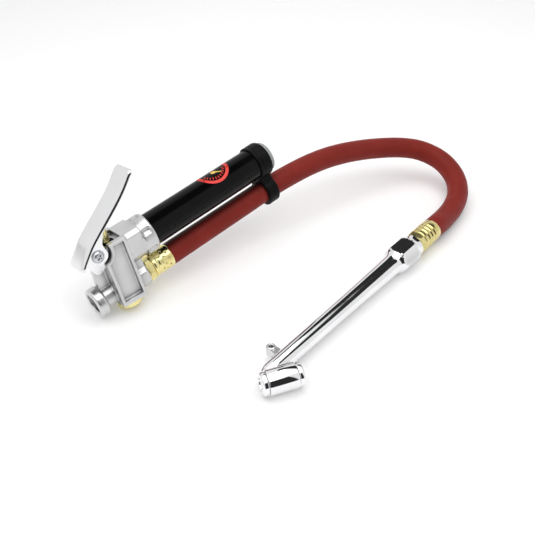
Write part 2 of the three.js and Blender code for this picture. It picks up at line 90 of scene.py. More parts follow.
class Shader:
    """A Principled material with a few short ways to add procedural detail and painted shade."""

    def __init__(self, name, **sockets):
        self.material = bpy.data.materials.new(name)
        self.material.use_nodes = True
        self.tree = self.material.node_tree
        self.bsdf = self.tree.nodes["Principled BSDF"]
        self.place = self.add("ShaderNodeTexCoord").outputs["Object"]
        for key, value in sockets.items():
            self.bsdf.inputs[key.replace("_", " ")].default_value = value

    def add(self, kind, **settings):
        node = self.tree.nodes.new(kind)
        for key, value in settings.items():
            setattr(node, key, value)
        return node

    def link(self, output, socket):
        self.tree.links.new(output, socket)

    def noise(self, scale, detail=3.0, roughness=0.5, place=None):
        node = self.add("ShaderNodeTexNoise")
        node.inputs["Scale"].default_value = scale
        node.inputs["Detail"].default_value = detail
        node.inputs["Roughness"].default_value = roughness
        self.link(place or self.place, node.inputs["Vector"])
        return node.outputs["Fac"]

    def stretched(self, matrix, scale):
        """The object's place in a local frame, scaled along that frame's axes."""
        node = self.add("ShaderNodeMapping", vector_type="TEXTURE")
        node.inputs["Rotation"].default_value = matrix.to_3x3().normalized().to_euler()
        node.inputs["Scale"].default_value = scale
        self.link(self.place, node.inputs["Vector"])
        return node.outputs["Vector"]

    def remap(self, value, low, high, start=0.3, stop=0.7):
        node = self.add("ShaderNodeMapRange")
        node.inputs["From Min"].default_value = start
        node.inputs["From Max"].default_value = stop
        node.inputs["To Min"].default_value = low
        node.inputs["To Max"].default_value = high
        self.link(value, node.inputs["Value"])
        return node.outputs["Result"]

    def blend(self, factor, first, second):
        node = self.add("ShaderNodeMix", data_type="RGBA")
        node.inputs["A"].default_value = (*first, 1)
        node.inputs["B"].default_value = (*second, 1)
        self.link(factor, node.inputs["Factor"])
        self.link(node.outputs["Result"], self.bsdf.inputs["Base Color"])

    def mottle(self, first, second, scale, detail=3.0, roughness=0.5):
        """Mixes two close shades by a noise."""
        self.blend(self.remap(self.noise(scale, detail, roughness), 0, 1), first, second)

    def uneven_roughness(self, low, high, scale, detail=3.0, roughness=0.5):
        value = self.remap(self.noise(scale, detail, roughness), low, high)
        self.link(value, self.bsdf.inputs["Roughness"])

    def painted_hollow_shade(self, distance, shade_colour, start=0.35, stop=0.9, strength=1.0, own=True):
        """Paints shade into the base colour in hollows narrower than distance in metres; own=False counts
        nearby pieces too.
        """
        hollow = self.add("ShaderNodeAmbientOcclusion", samples=6, only_local=own)
        hollow.inputs["Distance"].default_value = distance
        factor = self.remap(hollow.outputs["AO"], strength, 0.0, start, stop)
        node = self.add("ShaderNodeMix", data_type="RGBA")
        self.link(self.bsdf.inputs["Base Color"].links[0].from_socket, node.inputs["A"])
        node.inputs["B"].default_value = (*shade_colour, 1)
        self.link(factor, node.inputs["Factor"])
        self.link(node.outputs["Result"], self.bsdf.inputs["Base Color"])

    def bump(self, height, strength, depth):
        node = self.add("ShaderNodeBump")
        node.inputs["Strength"].default_value = strength
        node.inputs["Distance"].default_value = depth
        self.link(height, node.inputs["Height"])
        previous = self.bsdf.inputs["Normal"].links
        if previous:
            self.link(previous[0].from_socket, node.inputs["Normal"])
        self.link(node.outputs["Normal"], self.bsdf.inputs["Normal"])


def cast_metal():
    s = Shader("satin_cast_aluminium", Metallic=1.0)
    s.mottle((0.67, 0.67, 0.67), (0.60, 0.60, 0.61), 90, 4)
    # Painted shade: the casting's pockets, grooves and flutes are darkened in its colour.
    s.painted_hollow_shade(0.006, (0.045, 0.045, 0.047), 0.30, 0.90, 0.95)
    s.uneven_roughness(0.28, 0.34, 260, 4, 0.5)
    s.bump(s.noise(2600, 2), 0.16, 0.00004)
    s.bump(s.noise(260, 1), 0.05, 0.0002)
    return s.material


def chrome(name="polished_chrome", low=0.03, high=0.09, light=0.88, dark=0.81):
    s = Shader(name, Metallic=1.0)
    s.mottle((light, light, light + 0.01), (dark, dark, dark + 0.01), 60, 3)
    s.uneven_roughness(low, high, 160, 4, 0.65)
    s.bump(s.noise(140, 1), 0.05, 0.0001)
    return s.material


def brass(name="turned_brass", matrix=TOOL, light=(0.93, 0.85, 0.43), dark=(0.82, 0.70, 0.29)):
    s = Shader(name, Metallic=1.0)
    s.mottle(light, dark, 130, 5, 0.6)
    # Painted shade: the ferrule's dents and other small hollows are darkened in the brass's colour.
    s.painted_hollow_shade(0.0016, (0.10, 0.065, 0.018), 0.45, 0.85, 0.95)
    s.uneven_roughness(0.14, 0.28, 320, 4, 0.6)
    s.bump(s.noise(1.0, 1, place=s.stretched(matrix, (0.00012, 0.004, 0.004))), 0.10, 0.00002)
    return s.material


def plated_steel():
    s = Shader("bright_plated_steel", Metallic=1.0)
    s.mottle((0.68, 0.69, 0.71), (0.52, 0.54, 0.57), 200, 3)
    s.uneven_roughness(0.26, 0.40, 500, 3)
    return s.material


def black_enamel():
    s = Shader("black_gloss_enamel", Specular_IOR_Level=0.12)
    s.mottle((0.0025, 0.0025, 0.003), (0.0055, 0.0055, 0.006), 50, 3)
    s.uneven_roughness(0.10, 0.17, 150, 4, 0.6)
    s.bump(s.noise(420, 1), 0.04, 0.0002)
    return s.material


def black_rubber():
    s = Shader("moulded_black_rubber", Specular_IOR_Level=0.08)
    s.mottle((0.0025, 0.0025, 0.003), (0.006, 0.006, 0.0065), 140, 4)
    s.uneven_roughness(0.30, 0.46, 600, 3)
    s.bump(s.noise(3000, 2), 0.25, 0.00005)
    return s.material


def hose_rubber():
    s = Shader("brick_red_rubber", Sheen_Weight=0.02, Sheen_Roughness=0.5, Specular_IOR_Level=0.14)
    s.mottle((0.230, 0.020, 0.014), (0.190, 0.016, 0.011), 70, 5, 0.6)
    # Painted shade: the rubber darkens where the barrel, the floor or its own loop come close.
    s.painted_hollow_shade(0.011, (0.020, 0.003, 0.002), 0.30, 0.74, 0.9, own=False)
    s.uneven_roughness(0.44, 0.60, 260, 4)
    along = s.add("ShaderNodeTexCoord").outputs["UV"]
    weave = []
    for angle in (34, -34):
        mapped = s.add("ShaderNodeMapping")
        mapped.inputs["Rotation"].default_value = (0, 0, math.radians(angle))
        s.link(along, mapped.inputs["Vector"])
        wave = s.add("ShaderNodeTexWave", wave_type="BANDS", wave_profile="SIN")
        wave.inputs["Scale"].default_value = 12.0
        wave.inputs["Distortion"].default_value = 0.6
        wave.inputs["Detail Scale"].default_value = 2.0
        s.link(mapped.outputs["Vector"], wave.inputs["Vector"])
        weave.append(wave.outputs["Fac"])
    both = s.add("ShaderNodeMath", operation="MULTIPLY")
    s.link(weave[0], both.inputs[0])
    s.link(weave[1], both.inputs[1])
    s.bump(both.outputs[0], 0.16, 0.00006)
    s.bump(s.noise(900, 4, 0.6), 0.14, 0.00008)
    return s.material


def clear_plastic():
    s = Shader("clear_plastic", Transmission_Weight=0.9, IOR=1.46)
    s.mottle((0.88, 0.90, 0.91), (0.80, 0.83, 0.85), 80, 2)
    s.uneven_roughness(0.03, 0.10, 300, 3)
    return s.material


def frosted_plastic():
    s = Shader("frosted_lens", Transmission_Weight=0.35, IOR=1.46)
    s.mottle((0.52, 0.53, 0.54), (0.43, 0.44, 0.45), 80, 2)
    s.uneven_roughness(0.10, 0.22, 300, 3)
    return s.material


def plastic(name, first, second, rough=(0.35, 0.5)):
    s = Shader(name)
    s.mottle(first, second, 120, 3)
    s.uneven_roughness(*rough, 500, 3)
    s.bump(s.noise(1800, 2), 0.12, 0.00003)
    return s.material


def cut_thread():
    s = Shader("cut_thread_painted_shade", Metallic=1.0)
    s.mottle((0.62, 0.62, 0.63), (0.48, 0.48, 0.49), 200, 3)
    # Painted shade: the first darkens the thread's grooves, the second the deep bore as a whole.
    s.painted_hollow_shade(0.0010, (0.012, 0.012, 0.012), 0.45, 0.85, 1.0)
    s.painted_hollow_shade(0.030, (0.004, 0.004, 0.004), 0.60, 0.92, 0.94)
    s.uneven_roughness(0.14, 0.26, 600, 3)
    return s.material


CAST = cast_metal()
THREAD = cut_thread()
CHROME = chrome()
LEVER_CHROME = chrome("rolled_chrome", 0.07, 0.15, 0.84, 0.79)
SATIN_CHROME = chrome("satin_chrome", 0.20, 0.30, 0.66, 0.56)
BRASS = brass()
BRASS_CHUCK = brass("turned_brass_chuck", CHUCK, (0.78, 0.70, 0.33), (0.66, 0.55, 0.21))
STEEL = plated_steel()
ENAMEL = black_enamel()
RUBBER = black_rubber()
HOSE = hose_rubber()
CLEAR = clear_plastic()
FROSTED = frosted_plastic()
NYLON = plastic("white_nylon", (0.78, 0.77, 0.73), (0.70, 0.69, 0.64))
SIGNAL = plastic("signal_red", (0.62, 0.035, 0.015), (0.50, 0.025, 0.012))
SCALE_WHITE = plastic("scale_white", (0.80, 0.80, 0.78), (0.72, 0.72, 0.70), (0.3, 0.4))
BADGE_RED = plastic("badge_red", (0.86, 0.022, 0.012), (0.74, 0.018, 0.010), (0.3, 0.4))
BADGE_AMBER = plastic("badge_amber", (0.88, 0.60, 0.10), (0.78, 0.50, 0.08), (0.3, 0.4))
FINISH = {
    "cast_aluminium": CAST, "chromed_metal": CHROME, "plated_steel": STEEL, "brass": BRASS,
    "black_rubber": RUBBER, "black_enamel": ENAMEL, "clear_plastic": CLEAR,
    "white_nylon": NYLON, "indicator_red": SIGNAL, "hose_red": HOSE,
}

# ---- mesh tools ---------------------------------------------------------------------


def piece(name, mesh, material, body="inflator", nodes=(), bevel=0.0, segments=2, sharp=32):
    """Makes the piece, rounds its edges by bevel millimetres and hangs it on its CAD body."""
    obj = bpy.data.objects.new(name, mesh)
    bpy.context.scene.collection.objects.link(obj)
    mesh.materials.clear()
    mesh.materials.append(material)
    mesh.shade_smooth()
    if bevel:
        rounding = obj.modifiers.new("rounding", "BEVEL")
        rounding.width = bevel * 0.001
        rounding.segments = segments
        rounding.limit_method = "ANGLE"
        rounding.angle_limit = math.radians(sharp)
        rounding.harden_normals = True
    mesh.set_sharp_from_angle(angle=math.radians(sharp if not bevel else 60))
    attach(obj, body)
    if nodes:
        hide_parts(*nodes)
    return obj


def mesh_of(name, points, faces, matrix):
    """A mesh from points in the matrix's own frame, with doubled points joined and faces outward."""
    mesh = bpy.data.meshes.new(name)
    mesh.from_pydata([tuple(p) for p in points], [], faces)
    shape = bmesh.new()
    shape.from_mesh(mesh)
    bmesh.ops.remove_doubles(shape, verts=shape.verts, dist=1e-4)
    bmesh.ops.recalc_face_normals(shape, faces=shape.faces)
    bmesh.ops.transform(shape, matrix=matrix, verts=shape.verts)
    shape.to_mesh(mesh)
    shape.free()
    return mesh


def grid_faces(rows, columns, wrap_columns=False):
    faces = []
    for i in range(rows - 1):
        for k in range(columns if wrap_columns else columns - 1):
            k2 = (k + 1) % columns
            here, there = i * columns, (i + 1) * columns
            faces.append((here + k, here + k2, there + k2, there + k))
    return faces


def turned(name, profile, matrix, sides=96, shape=None):
    """A profile of (radius, position) turned about x; shape(angle, radius, x) may change it."""
    points = []
    for radius, x in profile:
        for k in range(sides):
            angle = 2 * math.pi * k / sides
            r = shape(angle, radius, x) if shape else radius
            points.append((x, r * math.cos(angle), r * math.sin(angle)))
    return mesh_of(name, points, grid_faces(len(profile), sides, wrap_columns=True), matrix)


def rounded_line(points, radius, steps=4):
    """Cuts each inner corner of an open line with a short curve."""
    result = [points[0]]
    for before, corner, after in zip(points, points[1:], points[2:]):
        a, b, c = (np.array(p, float) for p in (before, corner, after))
        into, out = np.linalg.norm(a - b), np.linalg.norm(c - b)
        if min(into, out) < 1e-6:
            result.append(corner)
            continue
        start = b + (a - b) / into * min(radius, into * 0.48)
        stop = b + (c - b) / out * min(radius, out * 0.48)
        for t in np.linspace(0, 1, steps + 1):
            result.append(tuple((1 - t) ** 2 * start + 2 * t * (1 - t) * b + t * t * stop))
    return result + [points[-1]]


def polygonal(corners, across_flats, phase=0.0):
    """Limits a turned shape to a regular polygon with that width between its flats."""

    def limit(angle, radius, x):
        local = (angle + phase) % (2 * math.pi / corners) - math.pi / corners
        return min(radius, across_flats / 2 / math.cos(local))

    return limit


CURVE_STEPS = 24                 # points on each stretch of a curve
CURVE_SOFTENING = 40             # rounds of averaging after that


def smooth_route(points, count):
    """Evenly spaced points on a softened centripetal curve through the given ones, and its length."""
    p = np.array(points, float)
    p = np.vstack([2 * p[0] - p[1], p, 2 * p[-1] - p[-2]])
    fine = []
    for a, b, c, d in zip(p, p[1:], p[2:], p[3:]):
        t0 = 0.0
        t1 = t0 + np.linalg.norm(b - a) ** 0.5
        t2 = t1 + np.linalg.norm(c - b) ** 0.5
        t3 = t2 + np.linalg.norm(d - c) ** 0.5
        for t in np.linspace(t1, t2, CURVE_STEPS, endpoint=False):
            ab = a * (t1 - t) / (t1 - t0) + b * (t - t0) / (t1 - t0)
            bc = b * (t2 - t) / (t2 - t1) + c * (t - t1) / (t2 - t1)
            cd = c * (t3 - t) / (t3 - t2) + d * (t - t2) / (t3 - t2)
            abc = ab * (t2 - t) / (t2 - t0) + bc * (t - t0) / (t2 - t0)
            bcd = bc * (t3 - t) / (t3 - t1) + cd * (t - t1) / (t3 - t1)
            fine.append(abc * (t2 - t) / (t2 - t1) + bcd * (t - t1) / (t2 - t1))
    fine = np.array(fine + [p[-2]])
    for _ in range(CURVE_SOFTENING):
        fine[1:-1] = (fine[:-2] + 2 * fine[1:-1] + fine[2:]) / 4
    lengths = np.concatenate([[0], np.cumsum(np.linalg.norm(np.diff(fine, axis=0), axis=1))])
    stations = np.linspace(0, lengths[-1], count)
    return np.stack([np.interp(stations, lengths, fine[:, k]) for k in range(3)], axis=1), lengths[-1]


# ---- hose ---------------------------------------------------------------------------
HOSE_R = 7.9
HOSE_STATIONS, HOSE_SIDES = 170, 40
LOOP = [
    (148, -6.3, 38.7), (166, -7.1, 39.9), (184, -8.6, 39.8), (201.5, -10.8, 38.2), (219, -14.2, 35.7),
    (236, -18.9, 32.8), (252, -25.2, 29.7), (265.5, -34.4, 26), (273.2, -50, 20.7), (270, -67, 15.2),
    (259, -79.8, 10.8), (243, -87.6, 8.5), (226, -92, 8.2),
]


def hose_mesh(route):
    """A round tube along the route in metres, its rings carried along without twisting."""
    tangent = np.gradient(route, axis=0)
    tangent /= np.linalg.norm(tangent, axis=1)[:, None]
    side = np.cross(tangent[0], (0, 0, 1))
    points = []
    for centre, direction in zip(route, tangent):
        side = side - direction * side.dot(direction)
        side /= np.linalg.norm(side)
        up = np.cross(direction, side)
        for k in range(HOSE_SIDES):
            angle = 2 * math.pi * k / HOSE_SIDES
            points.append(centre + HOSE_R * 0.001 * (side * math.cos(angle) + up * math.sin(angle)))
    faces = grid_faces(len(route), HOSE_SIDES, wrap_columns=True)
    faces.append(tuple(range(HOSE_SIDES)))
    faces.append(tuple(range((len(route) - 1) * HOSE_SIDES, len(route) * HOSE_SIDES)))
    return mesh_of("hose_tube", points, faces, Matrix.Identity(4))


def hose_uvs(mesh, pitch):
    """UVs in centimetres along and around the tube, for the weave in its rubber."""
    layer = mesh.uv_layers.new(name="along")
    for face in mesh.polygons:
        numbers = [mesh.loops[j].vertex_index for j in face.loop_indices]
        if len(numbers) != 4:
            continue
        places = [n % HOSE_SIDES for n in numbers]
        wraps = max(places) == HOSE_SIDES - 1 and min(places) == 0
        for j, n, around in zip(face.loop_indices, numbers, places):
            if wraps and around == 0:
                around = HOSE_SIDES
            u = n // HOSE_SIDES * pitch * 100
            layer.data[j].uv = (u, around / HOSE_SIDES * 2 * math.pi * HOSE_R * 0.1)


def hose():
    straight = [PORT @ Vector((x, 0, 0)) for x in (34.3, 55.3, 85, 108, 127.3)]
    loop = [ROW @ Vector(p) for p in LOOP]
    end = [CHUCK @ Vector((x, 0, 0)) for x in (186.8, 178.8)]
    route, length = smooth_route([tuple(p) for p in straight + loop + end], HOSE_STATIONS)
    mesh = hose_mesh(route)
    hose_uvs(mesh, length / (len(route) - 1))
    tube = piece("hose_tube", mesh, HOSE, nodes=["hose"], sharp=60)


hose()

# ---- CAD nodes ----------------------------------------------------------------------
# Each gets the finish of its slot. The seven that no piece replaces keep showing in it.
for entry in frame["record"]["subparts"]:
    node = NODES[entry["node"]]
    node.data.materials.clear()
    node.data.materials.append(FINISH[entry["material_slot"]])
    node.data.shade_smooth()
    node.data.set_sharp_from_angle(angle=math.radians(32))

# ---- solid tools --------------------------------------------------------------------
# These work on meshes in a local frame, in millimetres.
LOCAL = Matrix.Identity(4)


def lathe(profile, matrix=LOCAL, sides=96, shape=None):
    return turned("lathe", profile, matrix, sides, shape)


def rod(radius, start, stop, matrix=LOCAL, sides=96):
    return lathe([(0, start), (radius, start), (radius, stop), (0, stop)], matrix, sides)


def prism(outline, y0, y1, matrix=LOCAL):
    """An outline in x and z, extruded across y."""
    count = len(outline)
    points = [(x, y, z) for y in (y0, y1) for x, z in outline]
    faces = [(i, (i + 1) % count, count + (i + 1) % count, count + i) for i in range(count)]
    faces += [tuple(range(count)), tuple(range(2 * count - 1, count - 1, -1))]
    return mesh_of("prism", points, faces, matrix)


def box(x0, x1, y0, y1, z0, z1, matrix=LOCAL):
    return prism([(x0, z0), (x1, z0), (x1, z1), (x0, z1)], y0, y1, matrix)


def arc(centre, radius, start, stop, steps=24):
    """Points on an arc in degrees, both ends included."""
    return [
        (centre[0] + radius * math.cos(math.radians(a)), centre[1] + radius * math.sin(math.radians(a)))
        for a in np.linspace(start, stop, steps + 1)
    ]


def combined(name, adds, cuts=(), voxel=0.0, rounds=0, matrix=LOCAL):
    """Joins the first meshes, cuts the others out and softens the result."""
    scene = bpy.context.scene.collection
    base = bpy.data.objects.new(name + "_base", adds[0])
    scene.objects.link(base)
    tools = []
    for kind, meshes in (("UNION", adds[1:]), ("DIFFERENCE", cuts)):
        for mesh in meshes:
            tool = bpy.data.objects.new(name + "_tool", mesh)
            scene.objects.link(tool)
            tools.append(tool)
            step = base.modifiers.new("step", "BOOLEAN")
            step.operation = kind
            step.solver = "MANIFOLD"
            step.object = tool
    if voxel:
        remesh = base.modifiers.new("remesh", "REMESH")
        remesh.mode = "VOXEL"
        remesh.voxel_size = voxel
        smooth = base.modifiers.new("smooth", "SMOOTH")
        smooth.factor = 0.5
        smooth.iterations = rounds
    evaluated = base.evaluated_get(bpy.context.evaluated_depsgraph_get())
    mesh = bpy.data.meshes.new_from_object(evaluated)
    mesh.name = name
    mesh.transform(matrix)
    for obj in tools + [base]:
        bpy.data.objects.remove(obj)
    return mesh


def helix(radius, wire, start, stop, turns, matrix, name):
    """A coil along z: radius is to the middle of its wire, and wire is the wire's own radius."""
    steps, sides = int(turns * 30), 10
    points = []
    for i in range(steps + 1):
        t = i / steps
        angle = 2 * math.pi * turns * t
        rise = start + wire + (stop - start - 2 * wire) * t
        for k in range(sides):
            a = 2 * math.pi * k / sides
            r = radius + wire * math.cos(a)
            points.append((r * math.cos(angle), r * math.sin(angle), rise + wire * math.sin(a)))
    faces = grid_faces(steps + 1, sides, wrap_columns=True)
    faces += [tuple(range(sides)), tuple(range(steps * sides, (steps + 1) * sides))]
    return mesh_of(name, points, faces, matrix)


# ---- valve body ---------------------------------------------------------------------
BARREL_R = 11.1
BODY_SIDE, BODY_TOP, BODY_BOTTOM = 8.7, 12.5, -31.5
FLUTES, FLUTE_AT = 6, 15.6
IN_VALVE = LEAN @ X_TO_Z
ACROSS_PIVOT = AT_PIVOT @ X_TO_Y


def plate_outline(inset):
    """One side plate, with a round bite for the lever's lug at the pivot."""
    side, top, bottom = BODY_SIDE - inset, BODY_TOP - inset, BODY_BOTTOM + inset * 1.4
    swing = 7.9 + inset
    top_angle = math.degrees(math.asin((top - PIVOT_Z) / swing))
    side_angle = -math.degrees(math.acos((-side - PIVOT_X) / swing))
    curve = arc((PIVOT_X, PIVOT_Z), swing, top_angle, side_angle)
    return [(side, bottom), (side, top)] + curve + [(-side, bottom)]


def core_outline():
    boss = arc((PIVOT_X, PIVOT_Z), 4.4, 60, 200)
    front = [(BODY_SIDE, BODY_BOTTOM), (BODY_SIDE, BODY_TOP), (-5.4, BODY_TOP)]
    return front + boss + [(-12.8, 1), (-BODY_SIDE, -3), (-BODY_SIDE, BODY_BOTTOM)]


def casting():
    """Plates, core, shoulder, collar, hose boss and inlet, joined and hollowed, then softened."""
    shoulder = [(-12, -5), (12, -5), (12, 9.4), (9.4, 12), (-9.4, 12), (-12, 9.4)]
    hose_boss = [(0, 4), (10.2, 4), (10.2, 13.8), (8.8, 15), (0, 15)]
    adds = [
        prism(plate_outline(0), -12.5, 12.5, LEAN),
        prism(core_outline(), -7.4, 7.4, LEAN),
        rod(12, 2, 20),
        prism(shoulder, -20, -4, X_TO_Y),
        lathe([(0, 19.5), (12.7, 19.5), (13.5, 20.3), (13.5, 28.2), (12.7, 29), (0, 29)]),
        lathe(hose_boss, AT_PORT, 96, polygonal(8, 18.2, math.pi / 8)),
        rod(7.6, -18.5, -5, AT_PORT),
        lathe([(0, -25), (9.0, -25), (10.2, -23.8), (10.2, -19), (9.4, -18), (0, -18)], AT_PORT),
        box(5, 15, -6, 6, -20, -6),
        prism([(-14.8, 8), (-18, -16.5), (-6, -16.5), (-6, 6)], -2.4, 2.4),
    ]
    pocket = plate_outline(2)
    cuts = [
        prism(pocket, -13.5, -9.3, LEAN),
        prism(pocket, 9.3, 13.5, LEAN),
        rod(BARREL_R + 0.15, 14, 30),
        rod(6.4, -36.5, -15, IN_VALVE, 64),
        rod(7.3, -36.5, -24, IN_VALVE, 64),
        rod(3.4, -16, -6, IN_VALVE, 48),
        rod(3.1, -7, 3, IN_VALVE, 48),
        rod(5.1, 1.3, 15.5, IN_VALVE, 64),
        box(-4.6, 7.4, -7.9, 7.9, 9.7, 15.5, LEAN),
        rod(4.5, 9, 16, AT_PORT, 48),
        rod(6.9, -26, -11, AT_PORT, 72),
        rod(3.4, -12, 0, AT_PORT, 48),
        rod(2.5, -8.4, 8.4, ACROSS_PIVOT, 48),
    ]
    flute = [(0, 20.6), (2.6, 20.6), (3.4, 21.4), (3.4, 26.2), (2.6, 27), (0, 27)]
    for i in range(FLUTES):
        angle = math.radians(30 + 360 // FLUTES * i)
        place = Matrix.Translation((0, FLUTE_AT * math.cos(angle), FLUTE_AT * math.sin(angle)))
        cuts.append(lathe(flute, place, 48))
    mesh = combined("casting", adds, cuts, voxel=0.40, rounds=4, matrix=TOOL)
    piece("casting", mesh, CAST, nodes=["body_casting"], sharp=180)


casting()

THREAD_PITCH, THREAD_DEPTH = 1.41, 0.75
THREAD_MOUTH = -24.6


def inlet_thread():
    """Tapered pipe thread from the inlet's mouth inwards."""

    def groove(angle, radius, x):
        if radius > 6.85:
            return radius
        if x <= -24.2:
            return radius + 0.3
        phase = (x / THREAD_PITCH + angle / (2 * math.pi)) % 1
        taper = 0.03 * (THREAD_MOUTH - x)
        return radius + taper - THREAD_DEPTH * max(0.0, 1 - abs(phase - 0.5) / 0.42)

    rows = [(6.75, float(x)) for x in np.arange(THREAD_MOUTH, -11.4, 0.12)]
    profile = [(7.05, THREAD_MOUTH)] + rows + [(7.05, -11.5), (7.05, THREAD_MOUTH)]
    piece("inlet_thread", turned("inlet_thread", profile, PORT, 96, groove), THREAD, sharp=40)


inlet_thread()

# ---- lever --------------------------------------------------------------------------
WEB = [
    (-24.2, 5.4), (-21.4, 8.5), (-17.6, 12.1), (-12, 16.9), (-6, 21.0), (1, 25.4),
    (10, 31.1), (19, 37.3), (25, 42.3), (29, 45.7), (32.1, 46.6), (34, 44.4),
]
WEB_STATIONS = 110
LEVER_HALF = 10.0
SHEET = 1.6
BEND = 2.2
FLANGE = 2.65
TIP_CORNER, FOOT_CORNER = 4.6, 2.6


def web_route():
    """The web's upper line in x and z, the direction into the channel along it, and its length."""
    route, length = smooth_route([(x, 0, z) for x, z in WEB], WEB_STATIONS)
    line = route[:, [0, 2]]
    along = np.gradient(line, axis=0)
    along /= np.linalg.norm(along, axis=1)[:, None]
    inward = np.stack([along[:, 1], -along[:, 0]], axis=1)
    return line, inward, length


def web_half(from_foot, from_tip):
    """Half the web's width, less where its corners are rounded."""
    half = LEVER_HALF
    for distance, corner in ((from_tip, TIP_CORNER), (from_foot, FOOT_CORNER)):
        if distance < corner:
            half -= corner - math.sqrt(max(corner**2 - (corner - distance) ** 2, 0.04))
    return max(half, BEND + 0.4)


def channel_section(half):
    """The channel's section as (across, depth): its outer line, then its inner line backwards."""
    flat = [(half - BEND) * t for t in np.linspace(-1, 1, 9)[1:-1]]
    lines = []
    for inset in (0.0, SHEET):
        radius = BEND - inset
        quarter = np.linspace(0, math.pi / 2, 8)
        bend = [(-half + BEND - radius * math.cos(a), BEND - radius * math.sin(a)) for a in quarter]
        line = [(-half + inset, FLANGE), (-half + inset, BEND + 0.35)] + bend
        line += [(y, inset) for y in flat] + [(-y, depth) for y, depth in reversed(bend)]
        line += [(half - inset, BEND + 0.35), (half - inset, FLANGE)]
        lines.append(line)
    return lines[0] + lines[1][::-1]


def lever_web():
    """Pressed channel: a broad web with rounded bends into two short flanges."""
    line, inward, length = web_route()
    points = []
    for i, (place, into) in enumerate(zip(line, inward)):
        s = length * i / (len(line) - 1)
        for y, depth in channel_section(web_half(s, length - s)):
            points.append((place[0] + into[0] * depth, y, place[1] + into[1] * depth))
    columns = len(points) // len(line)
    faces = grid_faces(len(line), columns, wrap_columns=True)
    for row in (0, (len(line) - 1) * columns):
        for k in range(columns // 2 - 1):
            faces.append((row + k, row + k + 1, row + columns - 2 - k, row + columns - 1 - k))
    return mesh_of("lever_web", points, faces, TOOL)


def lever():
    piece("lever_web", lever_web(), LEVER_CHROME, "lever", ["lever"], bevel=0.22, sharp=50)
    line, inward, _ = web_route()
    top = [tuple(p + n * (BEND - 0.25)) for p, n in zip(line, inward) if -20.6 < p[0] < -1.2]
    lower = [(-4.9, 14.3)] + arc((PIVOT_X, PIVOT_Z), 6.7, -10, -80)
    lower += [(-9.7, 0.8), (-11, -1.2), (-15, -2.1), (-16.8, -0.6), (-20.0, 7.4)]
    outline = rounded_line(top + lower, 0.8, 2)
    bore = rod(2.2, -12, 12, ACROSS_PIVOT, 48)
    outside, inside = LEVER_HALF - 0.01, LEVER_HALF - SHEET
    for side, y0, y1 in (("near", -outside, -inside), ("far", inside, outside)):
        mesh = combined("lever_cheek", [prism(outline, y0, y1)], [bore.copy()], matrix=TOOL)
        piece("lever_cheek_" + side, mesh, LEVER_CHROME, "lever", ["lever"], bevel=0.3, sharp=40)


lever()


def pivot():
    """Cross-head screw on the near side, its shank and washer, and a nut on the far side."""
    near = PIVOT @ turn("Z", -90)
    head = lathe(
        [
            (0, 10.25), (3.2, 10.25), (3.6, 10.6), (3.6, 11.0), (3.3, 11.5), (2.5, 11.95), (1.4, 12.2),
            (0, 12.3),
        ],
        sides=64,
    )
    cross = [box(11.2, 13, -0.5, 0.5, -1.9, 1.9), box(11.2, 13, -1.9, 1.9, -0.5, 0.5)]
    screw = combined("screw", [head], cross, matrix=near @ turn("X", 38))
    piece("pivot_screw_head", screw, STEEL, nodes=["pivot_screw"], bevel=0.12, sharp=40)
    shank = rod(2.15, -11.3, 10.3, sides=48)
    shank.transform(near)
    piece("pivot_shank", shank, STEEL, nodes=["pivot_screw"], sharp=40)
    ring = [(2.3, 10.03), (4.3, 10.03), (4.3, 10.26), (2.3, 10.26), (2.3, 10.03)]
    piece("pivot_washer", lathe(ring, near, 64), STEEL, nodes=["pivot_screw"], sharp=40)
    profile = [(2.2, 10.3), (3.4, 10.3), (4.35, 10.8), (4.35, 12.0), (3.5, 12.35), (2.2, 12.35), (2.2, 10.3)]
    nut = lathe(profile, PIVOT @ X_TO_Y, 96, polygonal(6, 7.6))
    piece("pivot_nut_hex", nut, STEEL, nodes=["pivot_nut"], sharp=30)


pivot()

# ---- valve --------------------------------------------------------------------------
ON_VALVE = VALVE @ X_TO_Z


def valve():
    stem = [
        (0, -23), (2.2, -23), (2.2, -20.3), (4.6, -20.3), (4.6, -18.6), (1.7, -18.6), (1.7, -15),
        (2.3, -15), (2.3, -1.8), (2.8, -1.8), (2.8, 19.6), (2.65, 20.3), (2.2, 20.9), (1.5, 21.5),
        (0.7, 21.85), (0, 21.95),
    ]
    piece("stem_pin", lathe(stem, ON_VALVE, 64), BRASS, "valve", ["valve_stem"], sharp=40)
    cap = [
        (0, -37.5), (3.0, -37.5), (3.4, -36.9), (6.2, -36.9), (6.9, -37.4), (7.7, -37.3), (8.35, -36.8),
        (8.6, -36.2), (8.6, -33.5), (8.3, -33.1), (6.9, -33.1), (6.9, -25.2), (5.4, -25.2),
        (5.4, -34.5), (0, -34.5),
    ]
    piece("cap_plug", lathe(cap, ON_VALVE, 128), BRASS, nodes=["valve_cap"], sharp=35)
    wiper = [(2.95, 7), (4.9, 7), (4.9, 9.4), (4.5, 9.9), (3.4, 9.9), (2.95, 9.5), (2.95, 7)]
    piece("wiper_ring", lathe(wiper, ON_VALVE, 64), RUBBER, nodes=["stem_wiper"], sharp=60)
    spring = helix(4.4, 0.55, -34.2, -20.6, 5, VALVE, "return_coil")
    coil = piece("return_coil", spring, STEEL, "inflator", ["valve_spring"], sharp=80)
    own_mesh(coil)


valve()

# ---- gauge --------------------------------------------------------------------------
WINDOW_DEG = 14
WINDOW_TURN = turn("X", WINDOW_DEG)
WINDOW_START, WINDOW_STOP = 52.0, 104.0


def slot_outline(start, stop, half):
    return arc((stop, 0), half, -90, 90, 16) + arc((start, 0), half, 90, 270, 16)


